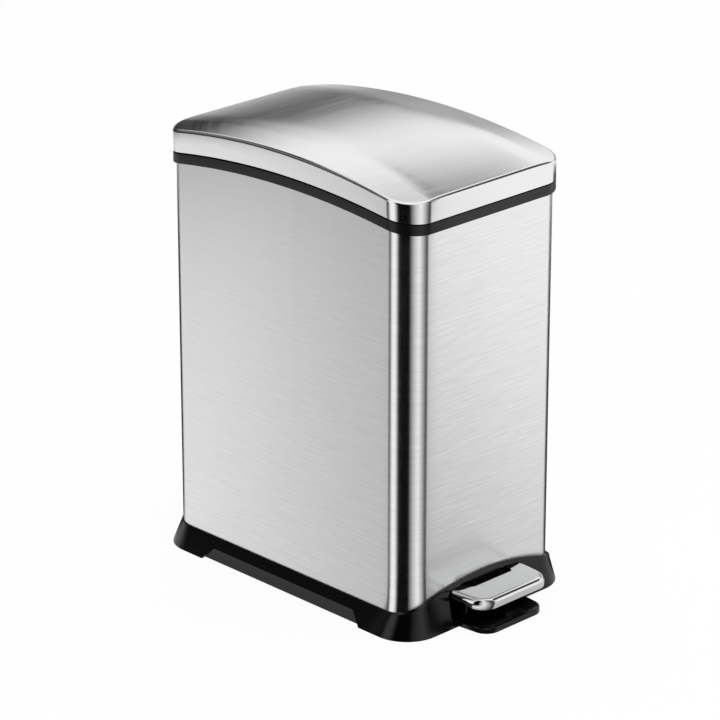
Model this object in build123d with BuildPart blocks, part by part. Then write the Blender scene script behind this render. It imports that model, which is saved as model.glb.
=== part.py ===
from build123d import *
import math
import os

os.makedirs("parts", exist_ok=True)

# Slim pedal bin, millimetres, +Z up, front (pedal) towards -Y, floor at z = 0.

# steel wrap
shell_width = 188
shell_depth = 300
shell_radius = 24
sheet = 0.7
fit_gap = 0.15

# arched rim collar
rim_apex = 386
rim_curve = 880
rim_forward = 10
rim_proud = 2.8
rim_band = 9.3
rim_flange = 24
rim_wall = 2.2
rim_roof = 4.2
bumper_radius = 1.8
bumper_sink = 1.5
bumper_span = 120

# lid
lid_gap = 1.1
lid_top = 412.6
lid_barrel = 690
lid_side_edge = 407.4
lid_side_curve = 750
lid_side_slope = 0.13
lid_edge_round = 2.5
liner_wall = 2.2
liner_height = 9.8
liner_plate = 2.2
notch_half = 38
notch_height = 11

# base
base_lift = 0.6
base_flare = 9.6
base_lip = 1.2
base_side = 22
base_arch = 40.8
base_wall = 2.3
base_pocket = 11.5
pocket_reach = 2.5
shell_seat = 14
groove_drop = 2.4
steel_drop = 2.2
deck_top = 46
deck_thick = 2.5
recess_end = 49
recess_height = 12.4
recess_step = 4.8
recess_round = 12
window_half = 47
window_strip = 4.4
window_foot = 6.2
window_round = 5
tongue_half = 23
tongue_foot = 27

# foot plate and underside
plate_root = 39.6
plate_tip = 36.4
plate_top = 6
plate_out = 40.5
plate_tuck = 16
plate_round = 14
cover_thick = 2
cover_bottom = 1.2
cover_gap = 0.6
cover_sink = 2
foot_inset = 18
foot_radius = 9.5
foot_height = 4
foot_seat = 2
foot_boss = 12
screw_inset_x = 36
screw_inset_y = 54
plate_screw_x = 12
plate_screw_inset = 9
screw_radius = 1.6
screw_head = 3.2
boss_radius = 5
plate_boss = 4.4
plate_edge = 1.6
plate_sink = 2.4

# pedal
pedal_top = 34
pedal_deep = 9
pedal_gap = 3.4
pedal_out = 41.5
pedal_root_half = 45
pedal_tip_half = 41.5
pedal_corner = 14
pedal_edge = 3.2
pedal_sheet = 1.2
pedal_notch_half = 25.5
pedal_notch_out = 12
pedal_notch_round = 4
pedal_pin_inset = 85
pedal_pin_z = 20
pedal_pin_radius = 3
arm_half = 11
arm_wall = 2
arm_bottom = 29
arm_front_inset = 16
arm_back_inset = 32
arm_tail_gap = 16
arm_x = 35
arm_wide = 15
pedal_screw_out = 27
pivot_boss_x = 18
pivot_boss_wide = 8
pivot_boss_long = 16
pivot_drop = 7

# hinge and lift gear
hinge_out = 6
hinge_rise = 3
hinge_pin_radius = 2
ear_radius = 4
ear_inner = 20.5
ear_outer = 35
housing_drop = 42
housing_half = 35
open_angle = 72
rod_inset = 12
rod_x = 7
rod_radius = 2
rod_bend = 6
hook_end = 5.5
slot_half = 3
slot_wall = 2.6
run_gap = 0.06
crank_half = 1.5
crank_wall_gap = 3.8
barrel_inner = 3
barrel_outer = 20
saddle_drop = 7
hinge_screw_x = 22
hinge_screw_drop = 32
leaf_width = 52
leaf_depth = 29
leaf_thick = 2
leaf_screw_x = 19
crank_foot_width = 20
crank_foot_depth = 22
crank_screw_x = 6
guide_width = 16
guide_front = 7
guide_low = 92
guide_high = 300
guide_tall = 14
damper_low = 150
damper_tall = 74
damper_radius = 8
damper_bore = 6
piston_low = 162
piston_tall = 8

# inner bucket
bucket_top = 364
bucket_side_gap = 7
bucket_front_gap = 7
bucket_rod_gap = 16.5
bucket_draft = 6
bucket_round = 20
bucket_wall = 1.8
bucket_floor = 2.2
bucket_gap = 0.3
bucket_lip = 3
bucket_lip_thick = 2.6
grip_width = 90
grip_height = 22
grip_drop = 26

# derived places
half_width = shell_width / 2
half_depth = shell_depth / 2
rim_end = rim_apex - rim_curve + math.sqrt(rim_curve**2 - (half_depth + rim_forward) ** 2)
recess_half = half_depth - recess_end
recess_wall = half_width + recess_step
plate_reach = half_depth + plate_out
plate_back = half_depth - plate_tuck
plate_screw_y = half_depth - plate_screw_inset
foot_x = half_width - foot_inset
foot_y = half_depth - foot_inset
screw_x = half_width - screw_inset_x
screw_y = half_depth - screw_inset_y
pedal_back = half_depth + pedal_gap
pedal_reach = half_depth + pedal_out
pedal_notch_y = half_depth + pedal_notch_out
pedal_screw_y = half_depth + pedal_screw_out
pedal_pin_y = half_depth - pedal_pin_inset
arm_cross_front = half_depth - arm_front_inset
arm_cross_back = half_depth - arm_back_inset
hinge_y = half_depth + hinge_out
hinge_z = rim_end + hinge_rise
hinge_screw_z = hinge_z - hinge_screw_drop
housing_bottom = hinge_z - housing_drop
housing_saddle = hinge_z - saddle_drop
rod_y = half_depth - rod_inset
arm_tail = rod_y - arm_tail_gap
crank_back = half_depth - crank_wall_gap
crank_reach = hinge_y - rod_y
crank_tilt = math.radians(open_angle / 2)
crank_z = hinge_z - crank_reach * math.tan(crank_tilt)
tail_z = 10
bucket_half = half_width - bucket_side_gap
bucket_front = half_depth - bucket_front_gap
bucket_rear = rod_y - bucket_rod_gap
rear_reach = hinge_y + ear_radius
body_y = (pedal_reach - rear_reach) / 2
inner_face = sheet + fit_gap
rim_inner = inner_face + rim_wall
lid_outer = rim_proud
arch_span = half_depth + 20

body_plane = Plane((0, body_y, 0))
side_plane = Plane((0, body_y, 0), x_dir=(0, 1, 0), z_dir=(1, 0, 0))
front_plane = Plane((0, body_y, 0), x_dir=(1, 0, 0), z_dir=(0, -1, 0))


def outline(grow, mode=Mode.ADD):
    RectangleRounded(shell_width + 2 * grow, shell_depth + 2 * grow, shell_radius + grow, mode=mode)


def arch_arc(apex, curve, forward):
    end = apex - curve + math.sqrt(curve**2 - arch_span**2)
    return ThreePointArc((-forward - arch_span, end), (-forward, apex), (arch_span - forward, end))


# a block between two copies of one arch, running across the whole width
def arch_block(top, bottom, curve, forward=0):
    with BuildPart() as block:
        with BuildSketch(side_plane):
            with BuildLine():
                upper = arch_arc(top, curve, forward)
                lower = arch_arc(bottom, curve, forward)
                Line(upper @ 0, lower @ 0)
                Line(upper @ 1, lower @ 1)
            make_face()
        extrude(amount=shell_width, both=True)
    return block.part


# everything under one long edge of the lid, its top rising inward at the flank's slope
def flank_block(side, edge_z):
    flank_plane = Plane((side * (shell_width / 2 + lid_outer), body_y, 0), x_dir=(0, 1, 0), z_dir=(1, 0, 0))
    with BuildPart() as block:
        with BuildSketch(flank_plane):
            with BuildLine():
                crest = arch_arc(edge_z, lid_side_curve, 0)
                Polyline(crest @ 1, (arch_span, rim_end - 90), (-arch_span, rim_end - 90), crest @ 0)
            make_face()
        extrude(amount=2 * shell_width, dir=(-side, 0, lid_side_slope))
    return block.part


# a wall or plate that follows the body outline and the rim's arch, heights above the rim's top
def arched_wall(outer, inner, top_rise, bottom_rise):
    band = arch_block(rim_apex + top_rise, rim_apex + bottom_rise, rim_curve, rim_forward)
    with BuildPart() as wall:
        with BuildSketch(body_plane.offset(rim_end - 60)):
            outline(outer)
            if inner is not None:
                outline(inner, mode=Mode.SUBTRACT)
        extrude(amount=120)
        add(band, mode=Mode.INTERSECT)
    return wall.part


# the lid's outside form drawn in by an inset: barrel top and a sloped flank along each long side
def lid_form(inset):
    barrel = arch_block(lid_top - inset, rim_end - 60, lid_barrel)
    left = flank_block(-1, lid_side_edge - inset)
    right = flank_block(1, lid_side_edge - inset)
    above_rim = arch_block(rim_apex + 90, rim_apex + lid_gap, rim_curve, rim_forward)
    with BuildPart() as form:
        with BuildSketch(body_plane.offset(rim_end - 20)):
            outline(lid_outer - inset)
        extrude(amount=90)
        add(barrel, mode=Mode.INTERSECT)
        add(left, mode=Mode.INTERSECT)
        add(right, mode=Mode.INTERSECT)
        add(above_rim, mode=Mode.INTERSECT)
        walls = form.faces().filter_by(lambda face: abs(face.normal_at(face.center()).Z) < 0.05)
        crease = walls.edges().filter_by_position(Axis.Z, rim_apex + lid_gap + 1, lid_top)
        fillet(crease, radius=lid_edge_round - inset)
    return form.part


# the space above or under the base's front arch, forward of the front corner centres
def front_block(rise, limit):
    reach = shell_width / 2 + base_lip
    with BuildPart() as block:
        with BuildSketch(front_plane.offset(shell_depth / 2 - shell_radius)):
            with BuildLine():
                arc = ThreePointArc((-reach, base_side + rise), (0, base_arch + rise), (reach, base_side + rise))
                Polyline(arc @ 1, (shell_width, base_side + rise), (shell_width, limit), (-shell_width, limit),
                         (-shell_width, base_side + rise), arc @ 0)
            make_face()
        extrude(amount=60)
    return block.part


def rim_height(y):
    return rim_apex - rim_curve + math.sqrt(rim_curve**2 - (y + rim_forward) ** 2)


def plan_at(x, y, z):
    return Plane((x, body_y + y, z))


# a screw with its head below the seat and its shank above it
def screw(x, y, seat, length):
    with BuildPart() as item:
        with BuildSketch(plan_at(x, y, seat)):
            Circle(screw_head)
        extrude(amount=-1.4)
        with BuildSketch(plan_at(x, y, seat)):
            Circle(screw_radius)
        extrude(amount=length)
    return item.part


# steel wrap, its lower edge hidden in the base's groove
wall_limit = arch_block(rim_apex - rim_roof - fit_gap, -100, rim_curve, rim_forward)
front_under = front_block(-steel_drop, -20)
with BuildPart() as outer_shell:
    with BuildSketch(body_plane.offset(shell_seat)):
        outline(0)
        outline(-sheet, mode=Mode.SUBTRACT)
    extrude(amount=rim_apex)
    add(wall_limit, mode=Mode.INTERSECT)
    add(front_under, mode=Mode.SUBTRACT)
    with BuildSketch(front_plane.offset(-shell_depth / 2 - 5)):
        with Locations((-hinge_screw_x, hinge_screw_z), (hinge_screw_x, hinge_screw_z)):
            Circle(screw_radius)
    extrude(amount=10, mode=Mode.SUBTRACT)
outer_shell.part.label = "outer_shell"
export_step(outer_shell.part, "parts/outer_shell.step")

# rim collar: proud band outside, flange inside, the wrap's top edge between them
rim_cap = arched_wall(rim_proud, -rim_inner, 0, -rim_roof)
rim_outside = arched_wall(rim_proud, fit_gap, 0, -rim_band)
rim_inside = arched_wall(-inner_face, -rim_inner, 0, -rim_flange)
bumper_y = half_depth - 0.1
bumper_spots = [(x, y) for y in (-bumper_y, bumper_y) for x in (-bumper_span / 2, bumper_span / 2)]
bumper_planes = [plan_at(x, y, rim_height(y) - bumper_sink) for x, y in bumper_spots]
with BuildPart() as top_rim:
    add(rim_cap)
    add(rim_outside)
    add(rim_inside)
    with BuildSketch(*bumper_planes):
        Circle(bumper_radius)
    extrude(amount=6, mode=Mode.SUBTRACT)
top_rim.part.label = "top_rim"
export_step(top_rim.part, "parts/top_rim.step")

# soft stops under the closed lid
with BuildPart() as lid_bumpers:
    with BuildSketch(*bumper_planes):
        Circle(bumper_radius)
    extrude(amount=bumper_sink + lid_gap - 0.3)
lid_bumpers.part.label = "lid_bumpers"
export_step(lid_bumpers.part, "parts/lid_bumpers.step")

# base: flared skirt with an arched brow, groove for the wrap, deck, bosses
front_mid = base_flare - (base_flare - base_lip) * base_side / base_arch
mid_plane = Plane((0, body_y + (base_lip - front_mid) / 2, base_side))
above_arch = front_block(0, 150)
deck_under = deck_top - deck_thick
with BuildPart() as groove:
    with BuildSketch(body_plane.offset(shell_seat - fit_gap)):
        outline(fit_gap)
        outline(-inner_face, mode=Mode.SUBTRACT)
    extrude(amount=60)
    add(front_block(-groove_drop, -20), mode=Mode.SUBTRACT)
with BuildPart() as base:
    with BuildSketch(body_plane.offset(base_lift)):
        outline(base_flare)
    with BuildSketch(mid_plane):
        RectangleRounded(shell_width + 2 * base_lip, shell_depth + base_lip + front_mid, shell_radius + base_lip)
    loft()
    with BuildSketch(mid_plane):
        RectangleRounded(shell_width + 2 * base_lip, shell_depth + base_lip + front_mid, shell_radius + base_lip)
    with BuildSketch(body_plane.offset(base_arch)):
        outline(base_lip)
    loft()
    add(above_arch, mode=Mode.SUBTRACT)
    with BuildSketch(Plane((0, body_y + 100 - shell_depth / 2 + shell_radius, base_side))):
        Rectangle(2 * shell_width, 200)
        with Locations((0, 100)):
            Rectangle(2 * shell_width, 200)
    extrude(amount=60, mode=Mode.SUBTRACT)
    with BuildSketch(body_plane.offset(base_pocket)):
        outline(-inner_face)
    extrude(amount=deck_top - base_pocket)
    add(groove.part, mode=Mode.SUBTRACT)
    with BuildSketch(body_plane):
        outline(pocket_reach)
    extrude(amount=base_pocket, mode=Mode.SUBTRACT)
    with BuildSketch(body_plane.offset(base_pocket)):
        outline(-inner_face - base_wall)
    extrude(amount=deck_under - base_pocket, mode=Mode.SUBTRACT)
    # bosses under the deck
    with BuildSketch(body_plane.offset(foot_seat)):
        with GridLocations(2 * foot_x, 2 * foot_y, 2, 2):
            Circle(foot_boss)
    extrude(amount=deck_under - foot_seat)
    with BuildSketch(body_plane.offset(cover_bottom + cover_thick)):
        with GridLocations(2 * screw_x, 2 * screw_y, 2, 2):
            Circle(boss_radius)
    extrude(amount=deck_under - cover_bottom - cover_thick)
    with BuildSketch(body_plane.offset(plate_top)):
        with Locations((-plate_screw_x, -plate_screw_y), (plate_screw_x, -plate_screw_y)):
            Circle(plate_boss)
    extrude(amount=deck_under - plate_top)
    with BuildSketch(body_plane.offset(pedal_pin_z - pivot_drop)):
        with Locations((-pivot_boss_x, -pedal_pin_y), (pivot_boss_x, -pedal_pin_y)):
            Rectangle(pivot_boss_wide, pivot_boss_long)
    extrude(amount=deck_under - pedal_pin_z + pivot_drop)
    # seats and holes
    with BuildSketch(body_plane.offset(foot_seat)):
        with GridLocations(2 * foot_x, 2 * foot_y, 2, 2):
            Circle(foot_radius + fit_gap)
    extrude(amount=foot_height - foot_seat, mode=Mode.SUBTRACT)
    with BuildSketch(body_plane.offset(cover_bottom)):
        with GridLocations(2 * screw_x, 2 * screw_y, 2, 2):
            Circle(screw_radius)
        with Locations((-plate_screw_x, -plate_screw_y), (plate_screw_x, -plate_screw_y)):
            Circle(screw_radius)
    extrude(amount=16, mode=Mode.SUBTRACT)
    with BuildSketch(side_plane):
        with Locations((-pedal_pin_y, pedal_pin_z)):
            Circle(pedal_pin_radius + 0.02)
    extrude(amount=40, both=True, mode=Mode.SUBTRACT)
    with BuildSketch(Plane((0, body_y + rod_y - 2, deck_under - 1))):
        Rectangle(36, 20)
    extrude(amount=deck_thick + 2, mode=Mode.SUBTRACT)
    # pedal window with its centre tongue, and the slot for the foot plate
    with BuildSketch(front_plane.offset(shell_depth / 2 - 8)) as window:
        with BuildLine():
            reach = shell_width / 2 + base_lip
            curve = (reach**2 + (base_arch - base_side) ** 2) / (2 * (base_arch - base_side))
            roof = base_arch - window_strip
            corner = roof - curve + math.sqrt(curve**2 - window_half**2)
            arc = ThreePointArc((-window_half, corner), (0, roof), (window_half, corner))
            Polyline(arc @ 1, (window_half, window_foot), (-window_half, window_foot), arc @ 0)
        make_face()
        fillet(window.vertices(), radius=window_round)
        with Locations((0, tongue_foot + 20)):
            RectangleRounded(2 * tongue_half, 40, 4, mode=Mode.SUBTRACT)
        with Locations((0, window_foot / 2)):
            Rectangle(2 * plate_root + 0.6, window_foot)
    extrude(amount=30, mode=Mode.SUBTRACT)
    # finger recess under each long side
    with BuildSketch(side_plane.offset(recess_wall)):
        with BuildLine():
            recess_top = recess_half - recess_round
            Polyline((-recess_half, 0), (-recess_top, recess_height), (recess_top, recess_height),
                     (recess_half, 0), (-recess_half, 0))
        make_face()
    extrude(amount=20, mode=Mode.SUBTRACT)
    with BuildSketch(side_plane.offset(-recess_wall)):
        with BuildLine():
            Polyline((-recess_half, 0), (-recess_top, recess_height), (recess_top, recess_height),
                     (recess_half, 0), (-recess_half, 0))
        make_face()
    extrude(amount=-20, mode=Mode.SUBTRACT)
base.part.label = "base"
export_step(base.part, "parts/base.step")

# foot plate that keeps the bin from tipping when the pedal is pressed
with BuildPart() as foot_plate:
    with BuildSketch(body_plane.offset(base_lift)) as tread:
        with BuildLine():
            Polyline((-plate_tip, -plate_reach), (plate_tip, -plate_reach), (plate_root, -shell_depth / 2 - 8),
                     (plate_root, -plate_back), (-plate_root, -plate_back),
                     (-plate_root, -shell_depth / 2 - 8), (-plate_tip, -plate_reach))
        make_face()
        fillet(tread.vertices().group_by(Axis.Y)[0], radius=plate_round)
    extrude(amount=plate_top - base_lift)
    front_top = foot_plate.edges().group_by(Axis.Z)[-1].filter_by_position(Axis.Y, -300, body_y - 160)
    fillet(front_top, radius=plate_edge)
    with BuildSketch(body_plane):
        with Locations((-plate_screw_x, -plate_screw_y), (plate_screw_x, -plate_screw_y)):
            Circle(screw_radius)
    extrude(amount=20, mode=Mode.SUBTRACT)
    with BuildSketch(body_plane):
        with Locations((-plate_screw_x, -plate_screw_y), (plate_screw_x, -plate_screw_y)):
            Circle(screw_head + 0.3)
    extrude(amount=plate_sink, mode=Mode.SUBTRACT)
foot_plate.part.label = "foot_plate"
export_step(foot_plate.part, "parts/foot_plate.step")

# cover that closes the underside
with BuildPart() as bottom_cover:
    with BuildSketch(body_plane.offset(cover_bottom)):
        outline(pocket_reach - cover_gap)
        with GridLocations(2 * foot_x, 2 * foot_y, 2, 2):
            Circle(foot_boss + cover_gap, mode=Mode.SUBTRACT)
        with GridLocations(2 * screw_x, 2 * screw_y, 2, 2):
            Circle(screw_radius, mode=Mode.SUBTRACT)
        with Locations((0, -plate_back - 30)):
            Rectangle(2 * plate_root + 3, 66, mode=Mode.SUBTRACT)
    extrude(amount=cover_thick)
    with BuildSketch(body_plane):
        with GridLocations(2 * screw_x, 2 * screw_y, 2, 2):
            Circle(screw_head + 0.3)
    extrude(amount=cover_sink, mode=Mode.SUBTRACT)
bottom_cover.part.label = "bottom_cover"
export_step(bottom_cover.part, "parts/bottom_cover.step")

with BuildPart() as rubber_feet:
    with BuildSketch(body_plane):
        with GridLocations(2 * foot_x, 2 * foot_y, 2, 2):
            Circle(foot_radius)
    extrude(amount=foot_height)
    chamfer(rubber_feet.edges().group_by(Axis.Z)[0], length=0.8)
rubber_feet.part.label = "rubber_feet"
export_step(rubber_feet.part, "parts/rubber_feet.step")

cover_screws = [screw(x, y, cover_sink, 12) for x in (-screw_x, screw_x) for y in (-screw_y, screw_y)]
plate_screws = [screw(x, -plate_screw_y, plate_sink, 12) for x in (-plate_screw_x, plate_screw_x)]
with BuildPart() as base_screws:
    add(cover_screws)
    add(plate_screws)
base_screws.part.label = "base_screws"
export_step(base_screws.part, "parts/base_screws.step")

# pedal pivot
with BuildPart() as pivot_pin:
    with BuildSketch(side_plane):
        with Locations((-pedal_pin_y, pedal_pin_z)):
            Circle(pedal_pin_radius)
    extrude(amount=pivot_boss_x + pivot_boss_wide / 2 + 4, both=True)
pivot_pin.part.label = "pivot_pin"
export_step(pivot_pin.part, "parts/pivot_pin.step")

clip_x = pivot_boss_x + pivot_boss_wide / 2 + 0.3
with BuildPart() as pivot_clips:
    with BuildSketch(side_plane.offset(clip_x), side_plane.offset(-clip_x - 1.2)):
        with Locations((-pedal_pin_y, pedal_pin_z)):
            Circle(5.5)
            Circle(pedal_pin_radius, mode=Mode.SUBTRACT)
    extrude(amount=1.2)
pivot_clips.part.label = "pivot_clips"
export_step(pivot_clips.part, "parts/pivot_clips.step")

# pedal tread: polished pressing, open at the back where the lever's arms enter
with BuildPart() as pedal_cap:
    with BuildSketch(body_plane.offset(pedal_top - pedal_deep)) as tread_plan:
        with BuildLine():
            Polyline((-pedal_root_half, -pedal_back), (-pedal_tip_half, -pedal_reach),
                     (pedal_tip_half, -pedal_reach), (pedal_root_half, -pedal_back),
                     (pedal_notch_half, -pedal_back), (pedal_notch_half, -pedal_notch_y),
                     (-pedal_notch_half, -pedal_notch_y), (-pedal_notch_half, -pedal_back),
                     (-pedal_root_half, -pedal_back))
        make_face()
        fillet(tread_plan.vertices().group_by(Axis.Y)[0], radius=pedal_corner)
        fillet(tread_plan.vertices().filter_by_position(Axis.Y, -pedal_notch_y - 1, -pedal_notch_y + 1),
               radius=pedal_notch_round)
    extrude(amount=pedal_deep)
    fillet(pedal_cap.faces().sort_by(Axis.Z)[-1].edges(), radius=pedal_edge)
    with BuildSketch(body_plane.offset(pedal_top - pedal_deep)) as hollow:
        add(tread_plan.sketch_local)
        offset(amount=-pedal_sheet, mode=Mode.REPLACE)
    extrude(amount=pedal_deep - pedal_sheet - 1, mode=Mode.SUBTRACT)
    with BuildSketch(body_plane.offset(pedal_top - pedal_deep)):
        with Locations((-arm_x, -pedal_back), (arm_x, -pedal_back)):
            Rectangle(arm_wide + 0.6, 4)
    extrude(amount=pedal_deep - pedal_sheet - 1, mode=Mode.SUBTRACT)
pedal_cap.part.label = "pedal_cap"
export_step(pedal_cap.part, "parts/pedal_cap.step")

# lever: frame under the tread, two arms through the window, channel back to the rod
frame_top = pedal_top - pedal_sheet - 1.1
arm_mid = (pedal_back + arm_cross_back) / 2 + 4
with BuildPart() as pedal_arm:
    with BuildSketch(body_plane.offset(arm_bottom)) as frame_plan:
        with BuildLine():
            Polyline((-pedal_root_half, -pedal_back), (-pedal_tip_half, -pedal_reach),
                     (pedal_tip_half, -pedal_reach), (pedal_root_half, -pedal_back),
                     (pedal_notch_half, -pedal_back), (pedal_notch_half, -pedal_notch_y),
                     (-pedal_notch_half, -pedal_notch_y), (-pedal_notch_half, -pedal_back),
                     (-pedal_root_half, -pedal_back))
        make_face()
        fillet(frame_plan.vertices().group_by(Axis.Y)[0], radius=pedal_corner)
        offset(amount=-pedal_sheet - fit_gap, mode=Mode.REPLACE)
    extrude(amount=frame_top - arm_bottom)
    with BuildSketch(body_plane.offset(arm_bottom)):
        with Locations((-arm_x, -arm_mid), (arm_x, -arm_mid)):
            Rectangle(arm_wide, pedal_back - arm_cross_back + 8)
        with Locations((0, -(arm_cross_front + arm_cross_back) / 2)):
            Rectangle(2 * arm_x + arm_wide, arm_cross_front - arm_cross_back)
    extrude(amount=frame_top - arm_bottom)
    with BuildSketch(side_plane):
        with BuildLine():
            Polyline((-arm_cross_front, frame_top), (-arm_cross_back, frame_top), (arm_tail, 17), (arm_tail, 6),
                     (-pedal_pin_y - 15, 12), (-arm_cross_back, 22), (-arm_cross_front, arm_bottom), (-arm_cross_front, frame_top))
        make_face()
    extrude(amount=arm_half, both=True)
    with BuildSketch(side_plane):
        with BuildLine():
            Polyline((-arm_cross_back, frame_top - arm_wall), (arm_tail + 2, 17 - arm_wall), (arm_tail + 2, 0),
                     (-arm_cross_back, 0), (-arm_cross_back, frame_top - arm_wall))
        make_face()
    extrude(amount=arm_half - arm_wall, both=True, mode=Mode.SUBTRACT)
    with BuildSketch(side_plane):
        with BuildLine():
            Polyline((arm_tail - 12, 16.4), (rod_y + 6, 15), (rod_y + 6, tail_z - 4.6), (arm_tail - 12, 6),
                     (arm_tail - 12, 16.4))
        make_face()
    extrude(amount=crank_half, both=True)
    with BuildSketch(side_plane):
        with Locations((-pedal_pin_y, pedal_pin_z)):
            Circle(pedal_pin_radius + run_gap)
        with Locations((rod_y, tail_z)):
            SlotOverall(2 * rod_radius + 2.4, 2 * rod_radius + 0.5)
    extrude(amount=40, both=True, mode=Mode.SUBTRACT)
    with BuildSketch(body_plane):
        with Locations((-arm_x, -pedal_screw_y), (arm_x, -pedal_screw_y)):
            Circle(screw_radius)
    extrude(amount=60, mode=Mode.SUBTRACT)
pedal_arm.part.label = "pedal_arm"
export_step(pedal_arm.part, "parts/pedal_arm.step")

tread_screws = [screw(x, -pedal_screw_y, arm_bottom, frame_top - arm_bottom) for x in (-arm_x, arm_x)]
with BuildPart() as pedal_screws:
    add(tread_screws)
pedal_screws.part.label = "pedal_screws"
export_step(pedal_screws.part, "parts/pedal_screws.step")

# hinge housing on the back of the wrap, its ears either side of the lid's barrels
wrap_back = shell_depth / 2 + fit_gap
band_back = shell_depth / 2 + rim_proud + 0.5
housing_back = hinge_y + ear_radius - 0.4
with BuildPart() as hinge_housing:
    with BuildSketch(side_plane):
        with BuildLine():
            Polyline((wrap_back, housing_bottom), (wrap_back, rim_end - rim_band - 2.4),
                     (band_back, rim_end - rim_band - 1.4),
                     (band_back, housing_saddle), (housing_back, housing_saddle),
                     (housing_back, housing_bottom + 14),
                     (wrap_back + 3, housing_bottom), (wrap_back, housing_bottom))
        make_face()
    extrude(amount=housing_half, both=True)
    with BuildSketch(side_plane.offset(ear_inner), side_plane.offset(-ear_outer)):
        with BuildLine():
            Polyline((band_back, housing_saddle - 2), (band_back, hinge_z), (hinge_y + ear_radius, hinge_z),
                     (hinge_y + ear_radius, hinge_z - 3), (housing_back, housing_saddle - 2),
                     (band_back, housing_saddle - 2))
        make_face()
        with Locations((hinge_y, hinge_z)):
            Circle(ear_radius)
    extrude(amount=ear_outer - ear_inner)
    with BuildSketch(side_plane):
        with Locations((hinge_y, hinge_z)):
            Circle(hinge_pin_radius + 0.02)
    extrude(amount=60, both=True, mode=Mode.SUBTRACT)
    with BuildSketch(front_plane.offset(-wrap_back)):
        with Locations((-hinge_screw_x, hinge_screw_z), (hinge_screw_x, hinge_screw_z)):
            Circle(screw_radius)
    extrude(amount=-4.5, mode=Mode.SUBTRACT)
hinge_housing.part.label = "hinge_housing"
export_step(hinge_housing.part, "parts/hinge_housing.step")

with BuildPart() as hinge_pin:
    with BuildSketch(side_plane):
        with Locations((hinge_y, hinge_z)):
            Circle(hinge_pin_radius)
    extrude(amount=ear_outer + 1, both=True)
hinge_pin.part.label = "hinge_pin"
export_step(hinge_pin.part, "parts/hinge_pin.step")

with BuildPart() as hinge_screws:
    with BuildSketch(front_plane.offset(-shell_depth / 2 + inner_face)):
        with Locations((-hinge_screw_x, hinge_screw_z), (hinge_screw_x, hinge_screw_z)):
            Circle(screw_head)
    extrude(amount=1.6)
    with BuildSketch(front_plane.offset(-shell_depth / 2 + inner_face)):
        with Locations((-hinge_screw_x, hinge_screw_z), (hinge_screw_x, hinge_screw_z)):
            Circle(screw_radius)
    extrude(amount=-5)
hinge_screws.part.label = "hinge_screws"
export_step(hinge_screws.part, "parts/hinge_screws.step")

# lid skin with a notch at the back for the hinge
lid_outside = lid_form(0)
lid_inside = lid_form(sheet)
with BuildPart() as lid_shell:
    add(lid_outside)
    add(lid_inside, mode=Mode.SUBTRACT)
    with BuildSketch(Plane((0, body_y + shell_depth / 2, rim_end - 10))):
        Rectangle(2 * notch_half, 20)
    extrude(amount=10 + lid_gap + notch_height, mode=Mode.SUBTRACT)
lid_shell.part.label = "lid_shell"
export_step(lid_shell.part, "parts/lid_shell.step")

# lid lining: wall inside the skin's skirt and an arched ceiling
leaf_screw_spots = [(x, y) for x in (-leaf_screw_x, leaf_screw_x) for y in (hinge_y - 38, hinge_y - 22)]
foot_screw_spots = [(-crank_screw_x, hinge_y - 34), (crank_screw_x, hinge_y - 34)]
liner_outer = lid_outer - sheet - fit_gap
liner_top = liner_height + liner_plate
liner_skirt = arched_wall(liner_outer, liner_outer - liner_wall, liner_top, lid_gap)
liner_roof = arched_wall(liner_outer, None, liner_top, liner_height)
with BuildPart() as lid_liner:
    add(liner_skirt)
    add(liner_roof)
    with BuildSketch(Plane((0, body_y + shell_depth / 2, rim_end - 10))):
        Rectangle(2 * notch_half, 20)
    extrude(amount=10 + liner_height - 0.6, mode=Mode.SUBTRACT)
    with BuildSketch(body_plane.offset(rim_end)):
        with Locations(*leaf_screw_spots, *foot_screw_spots):
            Circle(screw_radius)
    extrude(amount=40, mode=Mode.SUBTRACT)
lid_liner.part.label = "lid_liner"
export_step(lid_liner.part, "parts/lid_liner.step")

# hinge leaf under the ceiling with two barrels round the pin
leaf_sheet = arched_wall(-6, None, liner_height - 0.05, liner_height - 0.05 - leaf_thick)
with BuildPart() as lid_hinge:
    with BuildSketch(plan_at(0, hinge_y - 26.5, rim_end)):
        Rectangle(leaf_width, leaf_depth)
    extrude(amount=40)
    add(leaf_sheet, mode=Mode.INTERSECT)
    with BuildSketch(side_plane.offset(barrel_inner), side_plane.offset(-barrel_outer)):
        with BuildLine():
            Polyline((hinge_y - 16, hinge_z + 5), (hinge_y - 16, hinge_z + 7.4), (hinge_y, hinge_z + 4),
                     (hinge_y, hinge_z - 0.8), (hinge_y - 4, hinge_z - 1), (hinge_y - 10, hinge_z + 1.6),
                     (hinge_y - 16, hinge_z + 5))
        make_face()
        with Locations((hinge_y, hinge_z)):
            Circle(ear_radius)
    extrude(amount=barrel_outer - barrel_inner)
    with BuildSketch(side_plane):
        with Locations((hinge_y, hinge_z)):
            Circle(hinge_pin_radius + run_gap)
    extrude(amount=60, both=True, mode=Mode.SUBTRACT)
    with BuildSketch(body_plane.offset(rim_end)):
        with Locations(*leaf_screw_spots, *foot_screw_spots):
            Circle(screw_radius)
    extrude(amount=40, mode=Mode.SUBTRACT)
lid_hinge.part.label = "lid_hinge"
export_step(lid_hinge.part, "parts/lid_hinge.step")

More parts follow.
